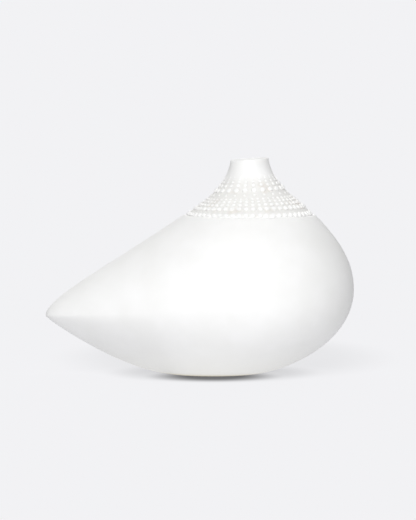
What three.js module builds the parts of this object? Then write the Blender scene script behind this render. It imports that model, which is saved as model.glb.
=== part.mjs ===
// Bud vase of matte white porcelain: a hollow teardrop body with a pointed tail, and a trumpet
// neck that sits on its shoulder ledge and is dressed with rows of raised slip beads.
// Millimetres, +Z up. The origin is under the middle of the length, on the surface that the
// vase stands on. The tail points to -X, and the XZ plane is the plane of symmetry.

import * as THREE from 'three';

// Body
const BODY_LENGTH = 193;
const BODY_WIDTH = 125;
const TAIL_HEIGHT = 36.2;
const BULB_HEIGHT = 52.7;
const SHOULDER_HEIGHT = 99.2;
const SHOULDER_RADIUS = 41.3;
const NECK_X = 31.1;
const BASE_X = 8.4;
const BASE_RADIUS = 26.8;
const FOOT_LAND = 5;
const FOOT_RECESS = 1.2;

// Walls
const WALL = 3.5;
const FLOOR = 4.5;
const TAIL_SOLID = 16;

// Neck, with the flat joint between its foot and the shoulder ledge
const LEDGE = 2;
const SEAT_LAND = 3.5;
const NECK_HEIGHT = 35.2;
const MOUTH_RADIUS = 12;
const LIP_WALL = 3.4;
const LIP_ROUND = 0.8;
const MOUTH_TIP = THREE.MathUtils.degToRad(3.9);

// Inside glaze, which stops short of the lip
const GLAZE = 0.6;
const GLAZE_GAP = 0.3;
const GLAZE_STOP = 2;

// Slip beads: bands of rows from the ledge upwards, each row graded from the one below it. The gap
// above a row is a share of its diameter, and a band has a further gap below it.
const LEDGE_BEAD = 3;
const LOWER_BEAD = 3.3;
const SPACER_BEAD = 1.7;
const UPPER_BEAD = 3.4;
const LOWER_GRADE = 0.8;
const UPPER_GRADE = 0.72;
const ROW_GAP = 0.27;
const LEDGE_GAP = 0.3;
const LOWER_GAP = 1.85;
const SPACER_GAP = 1.2;
const BEAD_BANDS = [
  { rows: 1, beads: 56, diameter: LEDGE_BEAD, grade: 1, below: LEDGE_GAP },
  { rows: 4, beads: 48, diameter: LOWER_BEAD, grade: LOWER_GRADE, below: LOWER_GAP },
  { rows: 1, beads: 24, diameter: SPACER_BEAD, grade: 1, below: SPACER_GAP },
  { rows: 5, beads: 24, diameter: UPPER_BEAD, grade: UPPER_GRADE, below: SPACER_GAP },
];
const BEAD_RISE = 0.25;
const BEAD_FILM = 0.2;
const BEAD_WAIST = 0.35;
const BEAD_SEAT_GAP = 0.15;

// Meridian curves, at the tail and round the bulb. Slopes are from the level, and a reach or a hold
// is how far the curve keeps its direction at that end, as a share of the distance that it spans.
// A spread is how soon the tail's value gives way to the bulb's, going round from the tail.
const TAIL_CURVE = {
  shoulderSlope: THREE.MathUtils.degToRad(34),
  shoulderReach: 0.55,
  upperHold: 0.17,
  lowerHold: 0.06,
  baseReach: 0.363,
  baseSlope: THREE.MathUtils.degToRad(1),
};
const BULB_CURVE = {
  shoulderSlope: THREE.MathUtils.degToRad(45.4),
  shoulderReach: 0.476,
  upperHold: 0.327,
  lowerHold: 0.6,
  baseReach: 0.377,
  baseSlope: THREE.MathUtils.degToRad(5.3),
};
const FLANK_HOLD = { upperHold: 0.45, lowerHold: 0.21 };
const TAIL_SPREAD = {
  shoulderSlope: 1.5,
  shoulderReach: 2.2,
  upperHold: 4.6,
  lowerHold: 7.6,
  baseReach: 2.3,
  baseSlope: 2.9,
};
const TAIL_BLUNTNESS = 0.33;

// Neck profile handles
const NECK_FOOT_SLOPE = THREE.MathUtils.degToRad(58);
const NECK_FOOT_REACH = 7.1;
const MOUTH_FLARE = THREE.MathUtils.degToRad(8);
const MOUTH_REACH = 19.3;

// Facets
const SIDES = 46;
const OUTER_STEPS = 7;
const INNER_STEPS = 5;
const NECK_TOP_STEPS = 3;
const ROUND_BEAD_FROM = 2.9;
const BEAD_SIDE = 0.66;
const HALVINGS = 40;

const NECK_FOOT_RADIUS = SHOULDER_RADIUS - LEDGE;
const OPENING_RADIUS = NECK_FOOT_RADIUS - SEAT_LAND;
const BORE_RADIUS = MOUTH_RADIUS - LIP_WALL;
const FRONT = 1.5 * Math.PI;
const UP = new THREE.Vector3(0, 0, 1);

// Angles run round from the tail, at -X, past +Y to the bulb, at +X, and on past -Y
const EVEN_ANGLES = Array.from({ length: SIDES }, (unused, side) => (2 * Math.PI * side) / SIDES);

// Skins a run of rings into one closed body. Each ring is a list of points in the same order,
// and a ring of one point closes an end. A looped run joins its last ring to its first.
function skin(rings, looped) {
  const positions = [];
  const firsts = [];
  for (const ring of rings) {
    firsts.push(positions.length / 3);
    for (const point of ring) {
      positions.push(point.x, point.y, point.z);
    }
  }
  const triangles = [];
  const joins = looped ? rings.length : rings.length - 1;
  for (let near = 0; near < joins; near += 1) {
    const far = (near + 1) % rings.length;
    const count = Math.max(rings[near].length, rings[far].length);
    const index = (ring, step) => firsts[ring] + (step % rings[ring].length);
    for (let step = 0; step < count; step += 1) {
      if (rings[near].length > 1) {
        triangles.push(index(near, step), index(far, step), index(near, step + 1));
      }
      if (rings[far].length > 1) {
        triangles.push(index(near, step + 1), index(far, step), index(far, step + 1));
      }
    }
  }
  const geometry = new THREE.BufferGeometry();
  geometry.setAttribute('position', new THREE.Float32BufferAttribute(positions, 3));
  geometry.setIndex(triangles);
  geometry.computeVertexNormals();
  return geometry;
}

function levelPoint(centreX, radius, height, angle) {
  return new THREE.Vector3(
    centreX - radius * Math.cos(angle),
    radius * Math.sin(angle),
    height,
  );
}

function levelRing(centreX, radius, height) {
  return BEARINGS.map((angle) => levelPoint(centreX, radius, height, angle));
}

// The outer form of the body, and the form of its cavity drawn in by a further depth
function outerForm() {
  return {
    ledgeRadius: SHOULDER_RADIUS,
    tailX: -BODY_LENGTH / 2,
    bulbX: BODY_LENGTH / 2,
    halfWidth: BODY_WIDTH / 2,
    baseRadius: BASE_RADIUS,
    baseHeight: 0,
  };
}

function cavityForm(depth) {
  const slant = depth / Math.sin(TAIL_CURVE.shoulderSlope);
  return {
    ledgeRadius: OPENING_RADIUS - slant,
    tailX: TAIL_SOLID + slant - BODY_LENGTH / 2,
    bulbX: BODY_LENGTH / 2 - WALL - depth,
    halfWidth: BODY_WIDTH / 2 - WALL - depth,
    baseRadius: BASE_RADIUS - WALL / 2 - depth,
    baseHeight: FLOOR + depth,
  };
}

// How full the teardrop is at a turn round its outline, as a share of its widest place
function fullness(turn) {
  const blunt = TAIL_BLUNTNESS ** 2;
  const slack = 1 + 2 * blunt;
  const widest = (slack - Math.sqrt(slack ** 2 + 3)) / 3;
  const most = Math.sqrt((1 - widest ** 2) * (blunt + (1 - widest) / 2));
  return (Math.sin(turn) * Math.sqrt(blunt + Math.sin(turn / 2) ** 2)) / most;
}

// The widest line of a form: a teardrop in plan that climbs evenly from the tail to the bulb
function widestPoint(form, turn) {
  const middle = (form.tailX + form.bulbX) / 2;
  const halfLength = (form.bulbX - form.tailX) / 2;
  const x = middle - halfLength * Math.cos(turn);
  const y = form.halfWidth * fullness(turn);
  const climb = (x + BODY_LENGTH / 2) / BODY_LENGTH;
  return new THREE.Vector3(x, y, THREE.MathUtils.lerp(TAIL_HEIGHT, BULB_HEIGHT, climb));
}

// The bearing of a point from the neck axis, counted from the tail
function bearingOf(point) {
  const bearing = Math.atan2(point.y, NECK_X - point.x);
  return bearing < 0 ? bearing + 2 * Math.PI : bearing;
}

// The turn at which a form's widest line lies at a bearing, found by halving
function turnAt(form, bearing) {
  let low = bearing > Math.PI ? Math.PI : 0;
  let high = low + Math.PI;
  for (let halving = 0; halving < HALVINGS; halving += 1) {
    const middle = (low + high) / 2;
    if (bearingOf(widestPoint(form, middle)) < bearing) {
      low = middle;
    } else {
      high = middle;
    }
  }
  return (low + high) / 2;
}

// Bearings of the body's meridians, close together where the tail is sharp
const BEARINGS = EVEN_ANGLES.map((turn) => bearingOf(widestPoint(outerForm(), turn)));

// A curve value at a turn, mixed from a value round the bulb and its value at the tail
function curveValue(name, turn, roundBulb = BULB_CURVE[name]) {
  const tailShare = ((1 + Math.cos(turn)) / 2) ** TAIL_SPREAD[name];
  return THREE.MathUtils.lerp(roundBulb, TAIL_CURVE[name], tailShare);
}

// A hold goes from the tail's value over the flank's to the one behind the bulb
function holdValue(name, turn) {
  const behind = (1 - Math.cos(turn)) / 2;
  return curveValue(name, turn, THREE.MathUtils.lerp(FLANK_HOLD[name], BULB_CURVE[name], behind));
}

// The curve from the widest line down to, or up to, a level circle. It leaves the widest line
// upright and comes to the circle at a slope.
function meridian(widest, rim, hold, slope, reach) {
  const out = new THREE.Vector3(widest.x - rim.x, widest.y - rim.y, 0).normalize();
  const rise = Math.sign(widest.z - rim.z);
  const widestHandle = widest.clone().addScaledVector(UP, hold * (rim.z - widest.z));
  const rimHandle = rim.clone();
  rimHandle.addScaledVector(out, reach * Math.cos(slope));
  rimHandle.addScaledVector(UP, rise * reach * Math.sin(slope));
  return new THREE.CubicBezierCurve3(widest, widestHandle, rimHandle, rim);
}

function lowerMeridian(form, bearing) {
  const turn = turnAt(form, bearing);
  const widest = widestPoint(form, turn);
  const rim = levelPoint(BASE_X, form.baseRadius, form.baseHeight, bearing);
  const span = Math.hypot(widest.x - rim.x, widest.y - rim.y);
  const reach = span * curveValue('baseReach', turn);
  return meridian(widest, rim, holdValue('lowerHold', turn), curveValue('baseSlope', turn), reach);
}

function upperMeridian(form, bearing) {
  const turn = turnAt(form, bearing);
  const widest = widestPoint(form, turn);
  const rim = levelPoint(NECK_X, form.ledgeRadius, SHOULDER_HEIGHT, bearing);
  const reach = widest.distanceTo(rim) * curveValue('shoulderReach', turn);
  return meridian(widest, rim, holdValue('upperHold', turn), curveValue('shoulderSlope', turn), reach);
}

// Rings of a form from its base circle up to its ledge circle
function formRings(form, steps) {
  const lower = BEARINGS.map((bearing) => lowerMeridian(form, bearing).getPoints(steps).reverse());
  const upper = BEARINGS.map((bearing) => upperMeridian(form, bearing).getPoints(steps).slice(1));
  const rings = [];
  for (let step = 0; step <= steps; step += 1) {
    rings.push(lower.map((points) => points[step]));
  }
  for (let step = 0; step < steps; step += 1) {
    rings.push(upper.map((points) => points[step]));
  }
  return rings;
}

// A point of the neck at a radius and a height up its axis. Its rings tip towards the tail, from
// level at the foot to most at the mouth.
function neckPoint(radius, height, angle) {
  const tip = MOUTH_TIP * (1 - (1 - height / NECK_HEIGHT) ** 2);
  const along = -radius * Math.cos(angle);
  return new THREE.Vector3(
    NECK_X + along * Math.cos(tip),
    radius * Math.sin(angle),
    SHOULDER_HEIGHT + height + along * Math.sin(tip),
  );
}

function neckRing(station, angles) {
  return angles.map((angle) => neckPoint(station.x, station.y, angle));
}

// The trumpet profile, as radius and height, from the foot to the mouth
function neckProfile(footRadius, mouthRadius, mouthHeight) {
  const foot = new THREE.Vector2(footRadius, 0);
  const mouth = new THREE.Vector2(mouthRadius, mouthHeight);
  const footHandle = new THREE.Vector2(
    footRadius - NECK_FOOT_REACH * Math.cos(NECK_FOOT_SLOPE),
    NECK_FOOT_REACH * Math.sin(NECK_FOOT_SLOPE),
  );
  const mouthHandle = new THREE.Vector2(
    mouthRadius + MOUTH_REACH * Math.sin(MOUTH_FLARE),
    mouthHeight - MOUTH_REACH * Math.cos(MOUTH_FLARE),
  );
  return new THREE.CubicBezierCurve(foot, footHandle, mouthHandle, mouth);
}

const OUTER_NECK = neckProfile(NECK_FOOT_RADIUS, MOUTH_RADIUS, NECK_HEIGHT - LIP_ROUND);
const OUTER_NECK_LENGTH = OUTER_NECK.getLength();

function upNeck(distance) {
  return OUTER_NECK.getPointAt(distance / OUTER_NECK_LENGTH);
}

// Stacks the bead rows up the neck profile, each by the distance of its lower edge along it
function beadRows() {
  const rows = [];
  let edge = 0;
  for (const band of BEAD_BANDS) {
    edge += band.below;
    for (let row = 0; row < band.rows; row += 1) {
      const diameter = band.diameter * band.grade ** row;
      rows.push({ beads: band.beads, diameter, edge });
      edge += diameter * (1 + ROW_GAP);
    }
  }
  return rows;
}

// One row of beads: a ring of slip, thin between the beads, swelling and widening at each of them
function beadRow(row) {
  const low = upNeck(row.edge);
  const high = upNeck(row.edge + row.diameter);
  const along = high.clone().sub(low);
  const out = new THREE.Vector2(along.y, -along.x).normalize();
  const middle = low.clone().lerp(high, 0.5);
  const film = BEAD_SEAT_GAP + BEAD_FILM;
  const rise = Math.max(BEAD_RISE * row.diameter - film, 0);
  const pitch = (2 * Math.PI) / row.beads;
  const sideTurn = (BEAD_SIDE * row.diameter) / 2 / middle.x;
  const sideSwell = Math.sqrt(1 - BEAD_SIDE ** 2);
  const waist = { turn: -pitch / 2, width: BEAD_WAIST, swell: 0 };
  const peak = { turn: 0, width: 1, swell: 1 };
  const slices = [waist, peak];
  if (row.diameter > ROUND_BEAD_FROM) {
    slices.splice(1, 0, { turn: -sideTurn, width: sideSwell, swell: sideSwell });
    slices.push({ turn: sideTurn, width: sideSwell, swell: sideSwell });
  }
  const sections = [];
  for (let bead = 0; bead < row.beads; bead += 1) {
    for (const slice of slices) {
      const angle = FRONT + (bead + 0.5) * pitch + slice.turn;
      const corner = (share, lift) => {
        const place = middle.clone().addScaledVector(along, share / 2).addScaledVector(out, lift);
        return neckPoint(place.x, place.y, angle);
      };
      sections.push([
        corner(slice.width, BEAD_SEAT_GAP),
        corner(0, film + rise * slice.swell),
        corner(-slice.width, BEAD_SEAT_GAP),
      ]);
    }
  }
  return skin(sections, true);
}

// Body: foot ring round a shallow recess, outer wall, shoulder ledge, and the cavity down to the floor
function vaseBody() {
  const recess = BASE_RADIUS - FOOT_LAND;
  return skin([
    [new THREE.Vector3(BASE_X, 0, FOOT_RECESS)],
    levelRing(BASE_X, recess - FOOT_RECESS, FOOT_RECESS),
    levelRing(BASE_X, recess, 0),
    ...formRings(outerForm(), OUTER_STEPS),
    ...formRings(cavityForm(0), INNER_STEPS).reverse(),
    [new THREE.Vector3(BASE_X, 0, FLOOR)],
  ], false);
}

// Neck: foot on the ledge, trumpet with a station at each edge of every bead row, lip and bore
function neckCollar(rows) {
  const stations = [upNeck(0)];
  for (const row of rows) {
    stations.push(upNeck(row.edge), upNeck(row.edge + row.diameter));
  }
  const topRow = rows[rows.length - 1];
  for (let step = 1; step <= NECK_TOP_STEPS; step += 1) {
    const share = step / NECK_TOP_STEPS;
    stations.push(upNeck(THREE.MathUtils.lerp(topRow.edge + topRow.diameter, OUTER_NECK_LENGTH, share)));
  }
  stations.push(new THREE.Vector2(MOUTH_RADIUS - LIP_ROUND, NECK_HEIGHT));
  stations.push(new THREE.Vector2(BORE_RADIUS + LIP_ROUND, NECK_HEIGHT));
  const bore = neckProfile(OPENING_RADIUS, BORE_RADIUS, NECK_HEIGHT - LIP_ROUND);
  stations.push(...bore.getPoints(INNER_STEPS).reverse());
  return skin(stations.map((station) => neckRing(station, EVEN_ANGLES)), true);
}

// One face of the inside glaze, from the middle of the floor up to its edge under the lip
function glazeFace(depth) {
  const bore = neckProfile(OPENING_RADIUS - depth, BORE_RADIUS - depth, NECK_HEIGHT - LIP_ROUND);
  const reach = 1 - GLAZE_STOP / bore.getLength();
  const stations = [];
  for (let step = 1; step <= INNER_STEPS; step += 1) {
    stations.push(bore.getPointAt((reach * step) / INNER_STEPS));
  }
  return [
    [new THREE.Vector3(BASE_X, 0, FLOOR + depth)],
    ...formRings(cavityForm(depth), INNER_STEPS),
    ...stations.map((station) => neckRing(station, BEARINGS)),
  ];
}

function insideGlaze() {
  const outer = glazeFace(GLAZE_GAP);
  const inner = glazeFace(GLAZE_GAP + GLAZE);
  return skin([...outer, ...inner.reverse()], false);
}

function bisque(colour) {
  return new THREE.MeshStandardMaterial({ color: colour, roughness: 0.75, metalness: 0 });
}

const vase = new THREE.Group();

function addPiece(name, geometry, material) {
  const piece = new THREE.Mesh(geometry, material);
  piece.name = name;
  vase.add(piece);
}

const rows = beadRows();
addPiece('vase_body', vaseBody(), bisque(0xf3f3f1));
addPiece('neck_collar', neckCollar(rows), bisque(0xf2f2f0));
rows.forEach((row, order) => {
  const number = String(order + 1).padStart(2, '0');
  addPiece(`bead_row_${number}`, beadRow(row), bisque(0xf6f6f4));
});
const gloss = new THREE.MeshStandardMaterial({ color: 0xf7f8f8, roughness: 0.12, metalness: 0 });
addPiece('inside_glaze', insideGlaze(), gloss);

export default vase;
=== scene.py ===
import math
from collections import namedtuple

import bpy
import numpy as np
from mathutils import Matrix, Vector


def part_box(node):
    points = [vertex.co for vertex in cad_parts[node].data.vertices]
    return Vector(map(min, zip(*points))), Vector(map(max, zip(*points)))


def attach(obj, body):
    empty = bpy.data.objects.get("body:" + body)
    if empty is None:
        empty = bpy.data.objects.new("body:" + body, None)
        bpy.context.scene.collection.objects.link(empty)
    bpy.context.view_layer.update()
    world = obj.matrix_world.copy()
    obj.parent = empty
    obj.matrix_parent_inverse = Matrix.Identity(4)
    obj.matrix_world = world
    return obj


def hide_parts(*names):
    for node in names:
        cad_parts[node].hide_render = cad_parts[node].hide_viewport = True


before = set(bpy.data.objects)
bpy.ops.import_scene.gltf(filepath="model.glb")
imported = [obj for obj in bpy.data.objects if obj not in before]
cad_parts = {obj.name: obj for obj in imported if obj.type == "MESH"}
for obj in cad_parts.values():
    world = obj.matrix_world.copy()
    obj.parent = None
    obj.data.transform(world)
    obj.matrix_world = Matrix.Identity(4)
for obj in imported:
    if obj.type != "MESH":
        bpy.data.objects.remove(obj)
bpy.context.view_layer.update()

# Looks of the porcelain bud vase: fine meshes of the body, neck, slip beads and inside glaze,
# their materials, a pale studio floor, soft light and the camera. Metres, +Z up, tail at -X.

BODY_LOW, BODY_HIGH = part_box("vase_body")
MM = 0.001

# Body, with its overall sizes from the frame
BODY_LENGTH = BODY_HIGH.x - BODY_LOW.x
BODY_WIDTH = BODY_HIGH.y - BODY_LOW.y
SHOULDER_HEIGHT = BODY_HIGH.z
TAIL_HEIGHT = 36.2 * MM
BULB_HEIGHT = 52.7 * MM
SHOULDER_RADIUS = 41.3 * MM
SHOULDER_ROUND = 0.9 * MM
NECK_X = 31.1 * MM
BASE_X = 8.4 * MM
BASE_RADIUS = 26.8 * MM
FOOT_LAND = 5 * MM
FOOT_RECESS = 1.2 * MM
WALL = 3.5 * MM
CAVITY_FLOOR = 4.5 * MM
TAIL_SOLID = 16 * MM

# Neck
LEDGE = 2 * MM
SEAT_LAND = 3.5 * MM
NECK_HEIGHT = 35.2 * MM
MOUTH_RADIUS = 12 * MM
LIP_WALL = 3.4 * MM
LIP_ROUND = 0.8 * MM
MOUTH_TIP = math.radians(3.9)
NECK_FOOT_SLOPE = math.radians(58)
NECK_FOOT_REACH = 7.1 * MM
MOUTH_FLARE = math.radians(8)
MOUTH_REACH = 19.3 * MM
NECK_FOOT_RADIUS = SHOULDER_RADIUS - LEDGE
OPENING_RADIUS = NECK_FOOT_RADIUS - SEAT_LAND
BORE_RADIUS = MOUTH_RADIUS - LIP_WALL

# Inside glaze, which feathers out below the lip
GLAZE_OUTER = 0.05 * MM
GLAZE_INNER = 0.45 * MM
GLAZE_EDGE = 0.08 * MM
GLAZE_STOP = 2 * MM
GLAZE_FEATHER = 6 * MM

# Painted warm floor light as a cream tint low on the body, and painted contact shade on the foot's brown
# line
BOUNCE_TINT_HEIGHT = 24 * MM
FOOT_SHADE_SHARE = 0.9
FOOT_SHADE_HEIGHT = 2.2 * MM

# Slip beads, in bands from the ledge upwards: rows, beads in a row, diameter of the lowest row, grade from
# one row to the next, and the gap below the band. The gap above a row is a share of its diameter, and the
# beads of a row are counted from the front.
BeadBand = namedtuple("BeadBand", "rows beads diameter grade below")
BEAD_BANDS = (
    BeadBand(1, 56, 3 * MM, 1, 0.3 * MM),
    BeadBand(4, 48, 3.3 * MM, 0.8, 1.85 * MM),
    BeadBand(1, 24, 1.7 * MM, 1, 1.2 * MM),
    BeadBand(5, 24, 3.4 * MM, 0.72, 1.2 * MM),
)
ROW_GAP = 0.27
FRONT = 1.5 * math.pi

# One bead: its rise as a share of its diameter, the power that shapes its dome and the angle where the dome
# ends, the reach of its skirt as a share of its radius, the powers by which the skirt spreads and falls, and
# the depth of its root
BEAD_RISE = 0.25
DOME_POWER = 0.5
DOME_END = math.radians(72)
BEAD_SKIRT = 1.1
SKIRT_SPREAD = 1.5
SKIRT_FALL = 1.6
BEAD_SINK = 0.25 * MM

# Painted shade on the ground between the beads, a darker and slightly warmer colour: its share on the neck,
# the way up the neck in which it sets in, and the number of top rows over which it fades
GROUND_SHADE_SHARE = 0.6
GROUND_SHADE_START = 3.6 * MM
FADING_ROWS = 3

# Meridian curves at the tail and round the bulb: their slope at the shoulder and at the base, how far they
# follow it, as a share of the way, and how long they stay upright above and below the widest line. A higher
# spread keeps a tail value closer to the tail.
TAIL_CURVE = {
    "shoulder_slope": math.radians(34),
    "shoulder_reach": 0.55,
    "upper_hold": 0.17,
    "lower_hold": 0.06,
    "base_reach": 0.363,
    "base_slope": math.radians(1),
}
BULB_CURVE = {
    "shoulder_slope": math.radians(45.4),
    "shoulder_reach": 0.476,
    "upper_hold": 0.327,
    "lower_hold": 0.6,
    "base_reach": 0.377,
    "base_slope": math.radians(5.3),
}
FLANK_HOLD = {"upper_hold": 0.45, "lower_hold": 0.21}
TAIL_SPREAD = {
    "shoulder_slope": 1.5,
    "shoulder_reach": 2.2,
    "upper_hold": 4.6,
    "lower_hold": 7.6,
    "base_reach": 2.3,
    "base_slope": 2.9,
}
TAIL_BLUNTNESS = 0.33

# Mesh steps
AROUND = 256
LOWER_STEPS = 48
UPPER_STEPS = 64
CAVITY_STEPS = 32
EDGE_STEPS = 6
NECK_STEPS = 150
BORE_STEPS = 40
BEAD_AROUND = 20
BEAD_DOME_STEPS = 8
BEAD_SKIRT_STEPS = 4
HALVINGS = 40
SHARP_ANGLE = math.radians(40)

# Picture: the photograph's frame, the size of one of its pixels at the vase, and about where the vase's
# origin shows in it
PICTURE_WIDTH = 416
PICTURE_HEIGHT = 520
PIXEL = 0.626 * MM
ORIGIN_PIXEL = (199.7, 373.4)

# Camera, with its sensor in millimetres
CAMERA_DISTANCE = 4
CAMERA_ELEVATION = math.radians(3.3)
CAMERA_REACH = 100
SENSOR = 36

# Colours of the porcelain and the glaze, and of the light and shade painted on the porcelain
WHITE = (0.87, 0.87, 0.865)
PALE = (0.84, 0.84, 0.83)
SLIP = (0.94, 0.94, 0.935)
# Painted shade for the ground between the beads, a little warm
GROUND_SHADE = (0.73, 0.722, 0.695)
# Painted warm light from the floor, low on the body
BOUNCE_CREAM = (0.935, 0.93, 0.885)
WARM = (0.62, 0.47, 0.33)
# Painted contact shade on the foot's own brownish edge
FOOT_SHADE_BROWN = (0.63, 0.57, 0.37)
GLAZE_WHITE = (0.88, 0.89, 0.89)
GLAZE_PALE = (0.85, 0.87, 0.87)

# Noise, by its features to the metre and its finer layers, and the parts of its range that are used
Noise = namedtuple("Noise", "scale detail")
BISQUE_CLOUDS = Noise(45, 3)
GLAZE_CLOUDS = Noise(60, 2)
WARM_PATCHES = Noise(90, 1)
CLOUD_RANGE = (0.35, 0.65)
PATCH_RANGE = (0.6, 0.75)
GLOSS_RANGE = (0.3, 0.7)
PATCH_SHARE = 0.3

# Surfaces: noise of the gloss, least and most roughness, and the noise, depth and strength of the fine bumps
Surface = namedtuple("Surface", "gloss roughness grain depth strength")
BISQUE = Surface(Noise(700, 2), (0.55, 0.68), Noise(2600, 3), 0.05 * MM, 0.35)
GLAZE = Surface(Noise(90, 2), (0.06, 0.14), Noise(220, 2), 0.1 * MM, 0.2)
GLAZE_COAT = 0.5
GLAZE_COAT_ROUGHNESS = 0.05
CAVITY_GLOW = 0.05

# Colour sockets of a mix node, which come after those for numbers and vectors
MIX_COLOURS = slice(6, 8)
MIX_RESULT = 2

# Stage: the backdrop and the room's light, and the floor with the share of its glow that lights the vase
BACKDROP = (0.887, 0.887, 0.905)
ROOM_LIGHT = 0.22
FLOOR_SIZE = 40
FLOOR_COLOUR = (0.05, 0.05, 0.051)
FLOOR_GLOW = (0.841, 0.841, 0.859)
FLOOR_BOUNCE = 0.89

# Soft lights, by azimuth, elevation and spread in degrees
Light = namedtuple("Light", "name azimuth elevation spread strength")
LIGHTS = (
    Light("front", 5, 8, 30, 1.24),
    Light("upper", -10, 46, 40, 1.68),
    Light("behind", 180, 45, 60, 1.17),
)

# Soft ovals of shade on the floor: before and behind the foot, round it, and wide behind the vase. Each has
# a core, as a share of its size, and the light that it leaves there.
Oval = namedtuple("Oval", "centre half_size core light")
SHADES = (
    Oval((BASE_X, -27 * MM, 0), (45 * MM, 52.5 * MM, 1), 0.32, 0.175),
    Oval((BASE_X, 27 * MM, 0), (45 * MM, 52.5 * MM, 1), 0.32, 0.5),
    Oval((BASE_X, 2 * MM, 0), (72 * MM, 89.5 * MM, 1), 0.58, 0.835),
    Oval((16 * MM, 140 * MM, 0), (117 * MM, 229 * MM, 1), 0.565, 0.91),
)

UP = np.array([0.0, 0.0, 1.0])
Form = namedtuple("Form", "ledge_radius tail_x bulb_x half_width base_radius base_height")


def lerp(start, end, share):
    return start + (end - start) * share


# Body form

def outer_form():
    return Form(SHOULDER_RADIUS, -BODY_LENGTH / 2, BODY_LENGTH / 2, BODY_WIDTH / 2, BASE_RADIUS, 0)


def cavity_form(depth):
    """The cavity, drawn in by a further depth."""
    slant = depth / math.sin(TAIL_CURVE["shoulder_slope"])
    return Form(
        OPENING_RADIUS - slant,
        TAIL_SOLID + slant - BODY_LENGTH / 2,
        BODY_LENGTH / 2 - WALL - depth,
        BODY_WIDTH / 2 - WALL - depth,
        BASE_RADIUS - WALL / 2 - depth,
        CAVITY_FLOOR + depth,
    )


def fullness(turn):
    """How full the teardrop is at a turn round its outline, as a share of its widest place."""
    blunt = TAIL_BLUNTNESS ** 2
    slack = 1 + 2 * blunt
    widest = (slack - math.sqrt(slack ** 2 + 3)) / 3
    most = math.sqrt((1 - widest ** 2) * (blunt + (1 - widest) / 2))
    return np.sin(turn) * np.sqrt(blunt + np.sin(turn / 2) ** 2) / most


def widest_points(form, turn):
    """The widest line of a form: a teardrop in plan that climbs evenly from the tail to the bulb."""
    middle = (form.tail_x + form.bulb_x) / 2
    half_length = (form.bulb_x - form.tail_x) / 2
    x = middle - half_length * np.cos(turn)
    y = form.half_width * fullness(turn)
    climb = (x + BODY_LENGTH / 2) / BODY_LENGTH
    return np.stack([x, y, lerp(TAIL_HEIGHT, BULB_HEIGHT, climb)], axis=-1)


def bearings_of(points):
    """Bearings from the neck axis, counted from the tail."""
    return np.arctan2(points[..., 1], NECK_X - points[..., 0]) % (2 * math.pi)


def turns_at(form, bearing):
    """The turns at which a form's widest line lies at the bearings, found by halving."""
    low = np.where(bearing > math.pi, math.pi, 0.0)
    high = low + math.pi
    for _ in range(HALVINGS):
        middle = (low + high) / 2
        short = bearings_of(widest_points(form, middle)) < bearing
        low = np.where(short, middle, low)
        high = np.where(short, high, middle)
    return (low + high) / 2


def curve_value(name, turn, round_bulb=None):
    """A curve value mixed from a value round the bulb and its value at the tail."""
    if round_bulb is None:
        round_bulb = BULB_CURVE[name]
    tail_share = ((1 + np.cos(turn)) / 2) ** TAIL_SPREAD[name]
    return lerp(round_bulb, TAIL_CURVE[name], tail_share)


def hold_value(name, turn):
    """A hold that goes from the tail's value over the flank's to the one behind the bulb."""
    behind = (1 - np.cos(turn)) / 2
    return curve_value(name, turn, lerp(FLANK_HOLD[name], BULB_CURVE[name], behind))


def level_points(centre_x, radius, height, angle):
    heights = np.full_like(angle, height)
    return np.stack([centre_x - radius * np.cos(angle), radius * np.sin(angle), heights], axis=-1)


def bezier(points, shares):
    """Rings of points on cubic curves, one ring for each share of the way."""
    start, first, second, end = points
    s = shares[..., None]
    away = 1 - s
    return away ** 3 * start + 3 * away ** 2 * s * first + 3 * away * s ** 2 * second + s ** 3 * end


def corner_rings(start, corner, end):
    """Rings that round a corner, without the first and last of them."""
    shares = np.linspace(0, 1, EDGE_STEPS + 1)[1:-1, None, None]
    return (1 - shares) ** 2 * start + 2 * (1 - shares) * shares * corner + shares ** 2 * end


def meridians(widest, rim, hold, slope, reach, steps, stop_short=0):
    """Curves from the widest line to a level circle, stopping short of it by a distance."""
    out = widest - rim
    out[:, 2] = 0
    out /= np.linalg.norm(out, axis=1, keepdims=True)
    rise = np.sign(widest[:, 2:] - rim[:, 2:])
    toward_rim = reach[:, None] * (out * np.cos(slope)[:, None] + UP * rise * np.sin(slope)[:, None])
    held = widest + UP * hold[:, None] * (rim[:, 2:] - widest[:, 2:])
    ends = 1 - stop_short / (3 * reach)
    shares = np.linspace(0, 1, steps + 1)[:, None] * ends
    return bezier((widest, held, rim + toward_rim, rim), shares)


def lower_meridians(form, bearing, steps):
    turn = turns_at(form, bearing)
    widest = widest_points(form, turn)
    rim = level_points(BASE_X, form.base_radius, form.base_height, bearing)
    reach = np.linalg.norm((widest - rim)[:, :2], axis=1) * curve_value("base_reach", turn)
    slope = curve_value("base_slope", turn)
    return meridians(widest, rim, hold_value("lower_hold", turn), slope, reach, steps)


def upper_meridians(form, bearing, steps, stop_short=0):
    turn = turns_at(form, bearing)
    widest = widest_points(form, turn)
    rim = level_points(NECK_X, form.ledge_radius, SHOULDER_HEIGHT, bearing)
    reach = np.linalg.norm(widest - rim, axis=1) * curve_value("shoulder_reach", turn)
    slope = curve_value("shoulder_slope", turn)
    return meridians(widest, rim, hold_value("upper_hold", turn), slope, reach, steps, stop_short)


def form_rings(form, bearing, lower_steps, upper_steps, stop_short=0):
    """Rings of a form from its base circle up to its ledge circle."""
    lower = lower_meridians(form, bearing, lower_steps)[::-1]
    upper = upper_meridians(form, bearing, upper_steps, stop_short)[1:]
    return np.concatenate([lower, upper])


# Neck form

def neck_points(radius, height, angle):
    """Points of the neck at a radius and a height. Its rings tip towards the tail, more with height."""
    tip = MOUTH_TIP * (1 - (1 - height / NECK_HEIGHT) ** 2)
    along = -radius * np.cos(angle)
    x = NECK_X + along * np.cos(tip)
    y = radius * np.sin(angle)
    z = SHOULDER_HEIGHT + height + along * np.sin(tip)
    return np.stack(np.broadcast_arrays(x, y, z), axis=-1)


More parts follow.
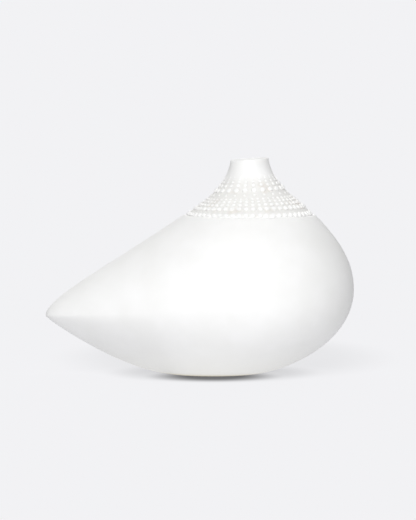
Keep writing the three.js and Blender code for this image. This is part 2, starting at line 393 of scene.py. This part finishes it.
class NeckProfile:
    """A trumpet profile of radius and height, from the foot to the mouth, walked by distance."""

    SAMPLES = 2000

    def __init__(self, foot_radius, mouth_radius):
        mouth_height = NECK_HEIGHT - LIP_ROUND
        foot = np.array([foot_radius, 0])
        mouth = np.array([mouth_radius, mouth_height])
        foot_way = np.array([-math.cos(NECK_FOOT_SLOPE), math.sin(NECK_FOOT_SLOPE)])
        mouth_way = np.array([math.sin(MOUTH_FLARE), -math.cos(MOUTH_FLARE)])
        handles = (foot, foot + NECK_FOOT_REACH * foot_way, mouth + MOUTH_REACH * mouth_way, mouth)
        self.points = bezier(handles, np.linspace(0, 1, self.SAMPLES))
        steps = np.linalg.norm(np.diff(self.points, axis=0), axis=1)
        self.walked = np.concatenate([[0], np.cumsum(steps)])
        self.length = self.walked[-1]

    def at(self, distance):
        """Radius and height at a distance up from the foot."""
        radius = np.interp(distance, self.walked, self.points[:, 0])
        height = np.interp(distance, self.walked, self.points[:, 1])
        return radius, height

    def out(self, distance):
        """The outward normal at a distance, as radius and height."""
        nudge = self.length / self.SAMPLES
        low = np.array(self.at(distance - nudge))
        high = np.array(self.at(distance + nudge))
        along = (high - low) / np.linalg.norm(high - low)
        return np.array([along[1], -along[0]])


# Mesh making

def skin_faces(rings, count, looped):
    """Faces between rings of count points each. A looped run joins its last ring to its first."""
    near = np.arange(rings if looped else rings - 1)
    far = (near + 1) % rings
    here = np.arange(count)
    after = (here + 1) % count
    corners = [
        near[:, None] * count + here,
        far[:, None] * count + here,
        far[:, None] * count + after,
        near[:, None] * count + after,
    ]
    return np.stack(corners, axis=-1).reshape(-1, 4).tolist()


def capped_skin(rings, first_point, last_point):
    """Points and faces of a run of rings, closed at both ends by a point."""
    count = rings.shape[1]
    points = np.concatenate([rings.reshape(-1, 3), [first_point], [last_point]])
    faces = skin_faces(len(rings), count, False)
    first = len(points) - 2
    last = len(points) - 1
    final_ring = (len(rings) - 1) * count
    for here in range(count):
        after = (here + 1) % count
        faces.append([first, here, after])
        faces.append([final_ring + here, last, final_ring + after])
    return points, faces


def add_object(name, data):
    """A new object in the scene, for a mesh, a light or a camera."""
    added = bpy.data.objects.new(name, data)
    bpy.context.scene.collection.objects.link(added)
    return added


def make_piece(name, points, faces, node, material):
    """A smooth mesh piece that stands for a CAD node."""
    mesh = bpy.data.meshes.new(name)
    mesh.from_pydata(np.asarray(points).tolist(), [], faces)
    mesh.shade_smooth()
    mesh.set_sharp_from_angle(angle=SHARP_ANGLE)
    mesh.materials.append(material)
    piece = add_object(name, mesh)
    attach(piece, "root")
    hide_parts(node)
    return piece


def set_mask(piece, name, values):
    """A number for each point of a piece, which its material reads by name."""
    mask = piece.data.attributes.new(name, "FLOAT", "POINT")
    mask.data.foreach_set("value", np.asarray(values, np.float32))


def fade_up(height, reach):
    """A share that falls from one at no height to nothing at a reach."""
    return np.clip(1 - height / reach, 0, 1) ** 2


# Pieces

def even_angles(count):
    return np.arange(count) * 2 * math.pi / count


def body_bearings():
    """Bearings of the body's meridians, close together where the tail is sharp."""
    return bearings_of(widest_points(outer_form(), even_angles(AROUND)))


def make_body(material):
    bearing = body_bearings()
    recess = BASE_RADIUS - FOOT_LAND
    foot = np.stack([
        level_points(BASE_X, recess - FOOT_RECESS, FOOT_RECESS, bearing),
        level_points(BASE_X, recess, 0, bearing),
    ])
    outer = form_rings(outer_form(), bearing, LOWER_STEPS, UPPER_STEPS, SHOULDER_ROUND)
    edge = level_points(NECK_X, SHOULDER_RADIUS, SHOULDER_HEIGHT, bearing)
    ledge = level_points(NECK_X, SHOULDER_RADIUS - SHOULDER_ROUND, SHOULDER_HEIGHT, bearing)
    shoulder = corner_rings(outer[-1], edge, ledge)
    cavity = form_rings(cavity_form(0), bearing, CAVITY_STEPS, CAVITY_STEPS)[::-1]
    rings = np.concatenate([foot, outer, shoulder, ledge[None], cavity])
    points, faces = capped_skin(rings, [BASE_X, 0, FOOT_RECESS], [BASE_X, 0, CAVITY_FLOOR])
    piece = make_piece("porcelain_body", points, faces, "vase_body", material)
    # Painted light: warm floor light low on the body, and contact shade on the brownish line at the foot
    set_mask(piece, "bounce_tint", fade_up(points[:, 2], BOUNCE_TINT_HEIGHT))
    set_mask(piece, "foot_shade_line", FOOT_SHADE_SHARE * fade_up(points[:, 2], FOOT_SHADE_HEIGHT))


def quarter_turn(centre_radius, centre_height, start):
    """Radius and height along a quarter of the lip's round, counted from a start angle."""
    angle = start + np.linspace(0, math.pi / 2, EDGE_STEPS + 1)
    return centre_radius + LIP_ROUND * np.cos(angle), centre_height + LIP_ROUND * np.sin(angle)


def make_neck(profile, rows, material):
    angle = even_angles(AROUND)
    bore = NeckProfile(OPENING_RADIUS, BORE_RADIUS)
    round_height = NECK_HEIGHT - LIP_ROUND
    walks = np.linspace(0, profile.length, NECK_STEPS + 1)
    stations = [
        profile.at(walks[:-1]),
        quarter_turn(MOUTH_RADIUS - LIP_ROUND, round_height, 0),
        quarter_turn(BORE_RADIUS + LIP_ROUND, round_height, math.pi / 2),
        bore.at(np.linspace(bore.length, 0, BORE_STEPS + 1)[1:]),
    ]
    radius = np.concatenate([station[0] for station in stations])
    height = np.concatenate([station[1] for station in stations])
    rings = neck_points(radius[:, None], height[:, None], angle[None, :])
    faces = skin_faces(len(rings), AROUND, True)
    piece = make_piece("porcelain_neck", rings.reshape(-1, 3), faces, "neck_collar", material)
    # Painted shade on the neck between the beads
    crevice_shade = np.zeros(len(radius))
    crevice_shade[:NECK_STEPS] = GROUND_SHADE_SHARE * crevice_shade_depth(rows, walks[:-1])
    set_mask(piece, "crevice_shade", np.repeat(crevice_shade, AROUND))


class BeadRow(namedtuple("BeadRow", "beads diameter edge")):
    """A row of beads, with the distance of its lower edge up the neck profile."""

    @property
    def middle(self):
        return self.edge + self.diameter / 2

    @property
    def rise(self):
        return BEAD_RISE * self.diameter


def bead_rows():
    """Bead rows stacked up the neck profile."""
    rows = []
    edge = 0
    for band in BEAD_BANDS:
        edge += band.below
        for row in range(band.rows):
            diameter = band.diameter * band.grade ** row
            rows.append(BeadRow(band.beads, diameter, edge))
            edge += diameter * (1 + ROW_GAP)
    return rows


def crevice_shade_depth(rows, distance):
    """How strong the painted shade between the beads is at a distance up the neck: faint at its foot and
    top.
    """
    top = rows[-1].edge + rows[-1].diameter
    from_top = (top - distance) / (top - rows[-FADING_ROWS].edge)
    return np.clip(np.minimum(distance / GROUND_SHADE_START, from_top), 0, 1)


def bead_outline(row):
    """Spread and lift of one bead from its crown, over its dome and out along its skirt, then under."""
    radius = row.diameter / 2
    dome_angle = np.linspace(0, DOME_END, BEAD_DOME_STEPS + 1)[1:]
    spread = radius * np.sin(dome_angle)
    lift = row.rise * np.cos(dome_angle) ** DOME_POWER
    shares = np.linspace(0, 1, BEAD_SKIRT_STEPS + 1)[1:]
    skirt_spread = lerp(spread[-1], radius * BEAD_SKIRT, shares ** SKIRT_SPREAD)
    skirt_lift = lerp(lift[-1], 0, 1 - (1 - shares) ** SKIRT_FALL)
    spread = np.concatenate([spread, skirt_spread, [radius * BEAD_SKIRT]])
    lift = np.concatenate([lift, skirt_lift, [-BEAD_SINK]])
    return spread, lift


def bead_skins(row, profile):
    """The rings, crown and root of each bead of a row, placed round the neck."""
    radius, height = profile.at(row.middle)
    out = profile.out(row.middle)
    along = np.array([-out[1], out[0]])
    spread, lift = bead_outline(row)
    spin = even_angles(BEAD_AROUND)
    side = spread[:, None] * np.cos(spin)
    climb = spread[:, None] * np.sin(spin)
    angle = FRONT + math.pi / row.beads + even_angles(row.beads)
    ring_radius = radius + along[0] * climb + out[0] * lift[:, None]
    ring_height = height + along[1] * climb + out[1] * lift[:, None]
    rings = neck_points(ring_radius, ring_height, angle[:, None, None] + side / radius)
    crowns = neck_points(radius + out[0] * row.rise, height + out[1] * row.rise, angle)
    roots = neck_points(radius - out[0] * BEAD_SINK, height - out[1] * BEAD_SINK, angle)
    return zip(rings, crowns, roots)


def bead_crevice_shade(row, rows):
    """The painted crevice shade of one bead: nothing on its crown, and most low on its skirt."""
    lift = bead_outline(row)[1]
    low = crevice_shade_depth(rows, row.middle) * fade_up(lift, row.rise)
    return np.concatenate([np.repeat(low, BEAD_AROUND), [0, 1]])


def make_bead_row(number, rows, profile, material):
    row = rows[number - 1]
    points = []
    faces = []
    for skin in bead_skins(row, profile):
        bead_points, bead_faces = capped_skin(*skin)
        faces.extend([[corner + len(points) for corner in face] for face in bead_faces])
        points.extend(bead_points.tolist())
    piece = make_piece(f"beads_{number:02d}", points, faces, f"bead_row_{number:02d}", material)
    # Painted shade low on each bead's skirt
    set_mask(piece, "crevice_shade", np.tile(bead_crevice_shade(row, rows), row.beads))


def glaze_rings(depth, edge_depth, bearing):
    """One face of the inside glaze, from its floor circle up to its edge under the lip."""
    bore = NeckProfile(OPENING_RADIUS, BORE_RADIUS)
    walks = np.linspace(0, bore.length - GLAZE_STOP, BORE_STEPS + 1)[1:]
    to_edge = np.clip((bore.length - GLAZE_STOP - walks) / GLAZE_FEATHER, 0, 1)
    radius, height = bore.at(walks)
    radius = radius - lerp(edge_depth, depth, to_edge)
    neck = neck_points(radius[:, None], height[:, None], bearing[None, :])
    return np.concatenate([form_rings(cavity_form(depth), bearing, CAVITY_STEPS, CAVITY_STEPS), neck])


def make_glaze(material):
    bearing = body_bearings()
    outer = glaze_rings(GLAZE_OUTER, GLAZE_OUTER, bearing)
    inner = glaze_rings(GLAZE_INNER, GLAZE_EDGE, bearing)
    rings = np.concatenate([outer, inner[::-1]])
    points, faces = capped_skin(
        rings, [BASE_X, 0, CAVITY_FLOOR + GLAZE_OUTER], [BASE_X, 0, CAVITY_FLOOR + GLAZE_INNER]
    )
    make_piece("glaze_coat", points, faces, "inside_glaze", material)


# Materials

def new_material(name):
    """A material with a bare principled shader, and its node tree and shader."""
    material = bpy.data.materials.new(name)
    material.use_nodes = True
    tree = material.node_tree
    shader = tree.nodes["Principled BSDF"]
    return material, tree, shader


def add_node(tree, kind, **settings):
    node = tree.nodes.new(kind)
    for name, value in settings.items():
        setattr(node, name, value)
    return node


def set_inputs(node, values):
    """Sets inputs of a node to constant values, by their names."""
    for name, value in values.items():
        node.inputs[name].default_value = value


def add_noise(tree, noise):
    """Noise in the vase's own coordinates."""
    place = add_node(tree, "ShaderNodeTexCoord")
    node = add_node(tree, "ShaderNodeTexNoise")
    set_inputs(node, {"Scale": noise.scale, "Detail": noise.detail})
    tree.links.new(place.outputs["Object"], node.inputs["Vector"])
    return node.outputs["Fac"]


def remap(tree, value, source, target):
    """A value carried from a source range to a target range, and held at the ends."""
    node = add_node(tree, "ShaderNodeMapRange")
    set_inputs(node, {
        "From Min": source[0],
        "From Max": source[1],
        "To Min": target[0],
        "To Max": target[1],
    })
    tree.links.new(value, node.inputs["Value"])
    return node.outputs["Result"]


def product(tree, first, second):
    node = add_node(tree, "ShaderNodeMath", operation="MULTIPLY")
    tree.links.new(first, node.inputs[0])
    tree.links.new(second, node.inputs[1])
    return node.outputs["Value"]


def blend(tree, share, first, second):
    """A colour mixed from two, each given as a colour or as a node's output."""
    node = add_node(tree, "ShaderNodeMix", data_type="RGBA")
    tree.links.new(share, node.inputs["Factor"])
    for colour, socket in zip((first, second), node.inputs[MIX_COLOURS]):
        if isinstance(colour, tuple):
            socket.default_value = (*colour, 1)
        else:
            tree.links.new(colour, socket)
    return node.outputs[MIX_RESULT]


def mask_value(tree, name):
    node = add_node(tree, "ShaderNodeAttribute", attribute_name=name)
    return node.outputs["Fac"]


def clouded(tree, noise, first, second):
    """Two colours that go over into each other in soft clouds."""
    clouds = remap(tree, add_noise(tree, noise), CLOUD_RANGE, (0, 1))
    return blend(tree, clouds, first, second)


def finish(tree, shader, colour, surface):
    """Gives a shader its colour, and the roughness and fine bumps of a surface."""
    roughness = remap(tree, add_noise(tree, surface.gloss), GLOSS_RANGE, surface.roughness)
    bump = add_node(tree, "ShaderNodeBump")
    set_inputs(bump, {"Strength": surface.strength, "Distance": surface.depth})
    tree.links.new(add_noise(tree, surface.grain), bump.inputs["Height"])
    tree.links.new(colour, shader.inputs["Base Color"])
    tree.links.new(roughness, shader.inputs["Roughness"])
    tree.links.new(bump.outputs["Normal"], shader.inputs["Normal"])


def body_bisque():
    """White porcelain with painted warm floor light low down, and painted shade on the brownish foot line.
    """
    material, tree, shader = new_material("body_bisque")
    colour = clouded(tree, BISQUE_CLOUDS, WHITE, PALE)
    # Painted warm floor light low down, then painted contact shade at the foot
    colour = blend(tree, mask_value(tree, "bounce_tint"), colour, BOUNCE_CREAM)
    colour = blend(tree, mask_value(tree, "foot_shade_line"), colour, FOOT_SHADE_BROWN)
    finish(tree, shader, colour, BISQUE)
    return material


def beaded_bisque(name, first, second):
    """White porcelain of two tones, with painted shade and some warm patches on the ground between the
    beads.
    """
    material, tree, shader = new_material(name)
    # Painted shade: the colour darkens on the ground between the beads, and warm patches lie there
    crevice_shade = mask_value(tree, "crevice_shade")
    colour = blend(tree, crevice_shade, clouded(tree, BISQUE_CLOUDS, first, second), GROUND_SHADE)
    patches = remap(tree, add_noise(tree, WARM_PATCHES), PATCH_RANGE, (0, PATCH_SHARE))
    colour = blend(tree, product(tree, patches, crevice_shade), colour, WARM)
    finish(tree, shader, colour, BISQUE)
    return material


def clear_glaze():
    """Glossy glaze. Its faint glow stands for the light that goes on bouncing inside the white cavity."""
    material, tree, shader = new_material("clear_glaze")
    finish(tree, shader, clouded(tree, GLAZE_CLOUDS, GLAZE_WHITE, GLAZE_PALE), GLAZE)
    set_inputs(shader, {
        "Coat Weight": GLAZE_COAT,
        "Coat Roughness": GLAZE_COAT_ROUGHNESS,
        "Emission Color": (1, 1, 1, 1),
        "Emission Strength": CAVITY_GLOW,
    })
    return material


# Stage

def oval_shade(tree, oval):
    """The light left on the floor: least in the core of an oval, and all of it outside."""
    place = add_node(tree, "ShaderNodeTexCoord")
    fit = add_node(tree, "ShaderNodeMapping")
    set_inputs(fit, {
        "Location": [-middle / half for middle, half in zip(oval.centre, oval.half_size)],
        "Scale": [1 / half for half in oval.half_size],
    })
    distance = add_node(tree, "ShaderNodeVectorMath", operation="LENGTH")
    tree.links.new(place.outputs["Object"], fit.inputs["Vector"])
    tree.links.new(fit.outputs["Vector"], distance.inputs[0])
    shade = remap(tree, distance.outputs["Value"], (oval.core, 1), (oval.light, 1))
    shade.node.interpolation_type = "SMOOTHSTEP"
    return shade


def floor_paper():
    """White paper lit from below. Only the camera sees its shade: the vase is lit by an even glow."""
    material, tree, shader = new_material("floor_paper")
    set_inputs(shader, {
        "Base Color": (*FLOOR_COLOUR, 1),
        "Roughness": 1,
        "Specular IOR Level": 0,
        "Emission Color": (*FLOOR_GLOW, 1),
    })
    shade = oval_shade(tree, SHADES[0])
    for oval in SHADES[1:]:
        shade = product(tree, shade, oval_shade(tree, oval))
    rays = add_node(tree, "ShaderNodeLightPath")
    seen = add_node(tree, "ShaderNodeMix")
    set_inputs(seen, {"A": FLOOR_BOUNCE})
    tree.links.new(rays.outputs["Is Camera Ray"], seen.inputs["Factor"])
    tree.links.new(shade, seen.inputs["B"])
    tree.links.new(seen.outputs["Result"], shader.inputs["Emission Strength"])
    return material


def make_floor():
    half = FLOOR_SIZE / 2
    mesh = bpy.data.meshes.new("studio_floor")
    corners = [(-half, -half, 0), (half, -half, 0), (half, half, 0), (-half, half, 0)]
    mesh.from_pydata(corners, [], [(0, 1, 2, 3)])
    mesh.materials.append(floor_paper())
    floor = add_object("studio_floor", mesh)


def make_world():
    """A pale even backdrop, which lights the vase as a dimmer grey room."""
    world = bpy.data.worlds.new("studio")
    world.use_nodes = True
    tree = world.node_tree
    tree.nodes.clear()
    room = add_node(tree, "ShaderNodeBackground")
    set_inputs(room, {"Color": (1, 1, 1, 1), "Strength": ROOM_LIGHT})
    backdrop = add_node(tree, "ShaderNodeBackground")
    set_inputs(backdrop, {"Color": (*BACKDROP, 1)})
    rays = add_node(tree, "ShaderNodeLightPath")
    mix = add_node(tree, "ShaderNodeMixShader")
    output = add_node(tree, "ShaderNodeOutputWorld")
    tree.links.new(rays.outputs["Is Camera Ray"], mix.inputs["Fac"])
    tree.links.new(room.outputs["Background"], mix.inputs[1])
    tree.links.new(backdrop.outputs["Background"], mix.inputs[2])
    tree.links.new(mix.outputs["Shader"], output.inputs["Surface"])
    bpy.context.scene.world = world


def make_light(light):
    """A far, broad soft light. Azimuth 0 shines from the front, and counts towards the bulb."""
    lamp = bpy.data.lights.new(light.name, "SUN")
    lamp.energy = light.strength
    lamp.angle = math.radians(light.spread)
    turn = math.radians(light.azimuth)
    lift = math.radians(light.elevation)
    source = Vector((
        math.sin(turn) * math.cos(lift),
        -math.cos(turn) * math.cos(lift),
        math.sin(lift),
    ))
    add_object(light.name, lamp).rotation_euler = source.to_track_quat("Z", "Y").to_euler()


def make_camera():
    """A camera that frames the vase as the photograph does."""
    lens = bpy.data.cameras.new("camera")
    camera = add_object("camera", lens)
    target = Vector((
        (PICTURE_WIDTH / 2 - ORIGIN_PIXEL[0]) * PIXEL,
        0,
        (ORIGIN_PIXEL[1] - PICTURE_HEIGHT / 2) * PIXEL,
    ))
    back = Vector((0, -math.cos(CAMERA_ELEVATION), math.sin(CAMERA_ELEVATION)))
    camera.location = target + back * CAMERA_DISTANCE
    camera.rotation_euler = back.to_track_quat("Z", "Y").to_euler()
    lens.sensor_width = SENSOR
    lens.lens = SENSOR * CAMERA_DISTANCE / (PICTURE_HEIGHT * PIXEL)
    lens.clip_end = CAMERA_REACH
    bpy.context.scene.camera = camera


def make_vase():
    profile = NeckProfile(NECK_FOOT_RADIUS, MOUTH_RADIUS)
    rows = bead_rows()
    make_body(body_bisque())
    make_neck(profile, rows, beaded_bisque("neck_bisque", SLIP, PALE))
    slip = beaded_bisque("bead_slip", SLIP, WHITE)
    for number in range(1, len(rows) + 1):
        make_bead_row(number, rows, profile, slip)
    make_glaze(clear_glaze())


def make_stage():
    make_floor()
    make_world()
    for light in LIGHTS:
        make_light(light)
    make_camera()
    view = bpy.context.scene.view_settings
    view.view_transform = "Standard"
    view.look = "None"


make_vase()
make_stage()
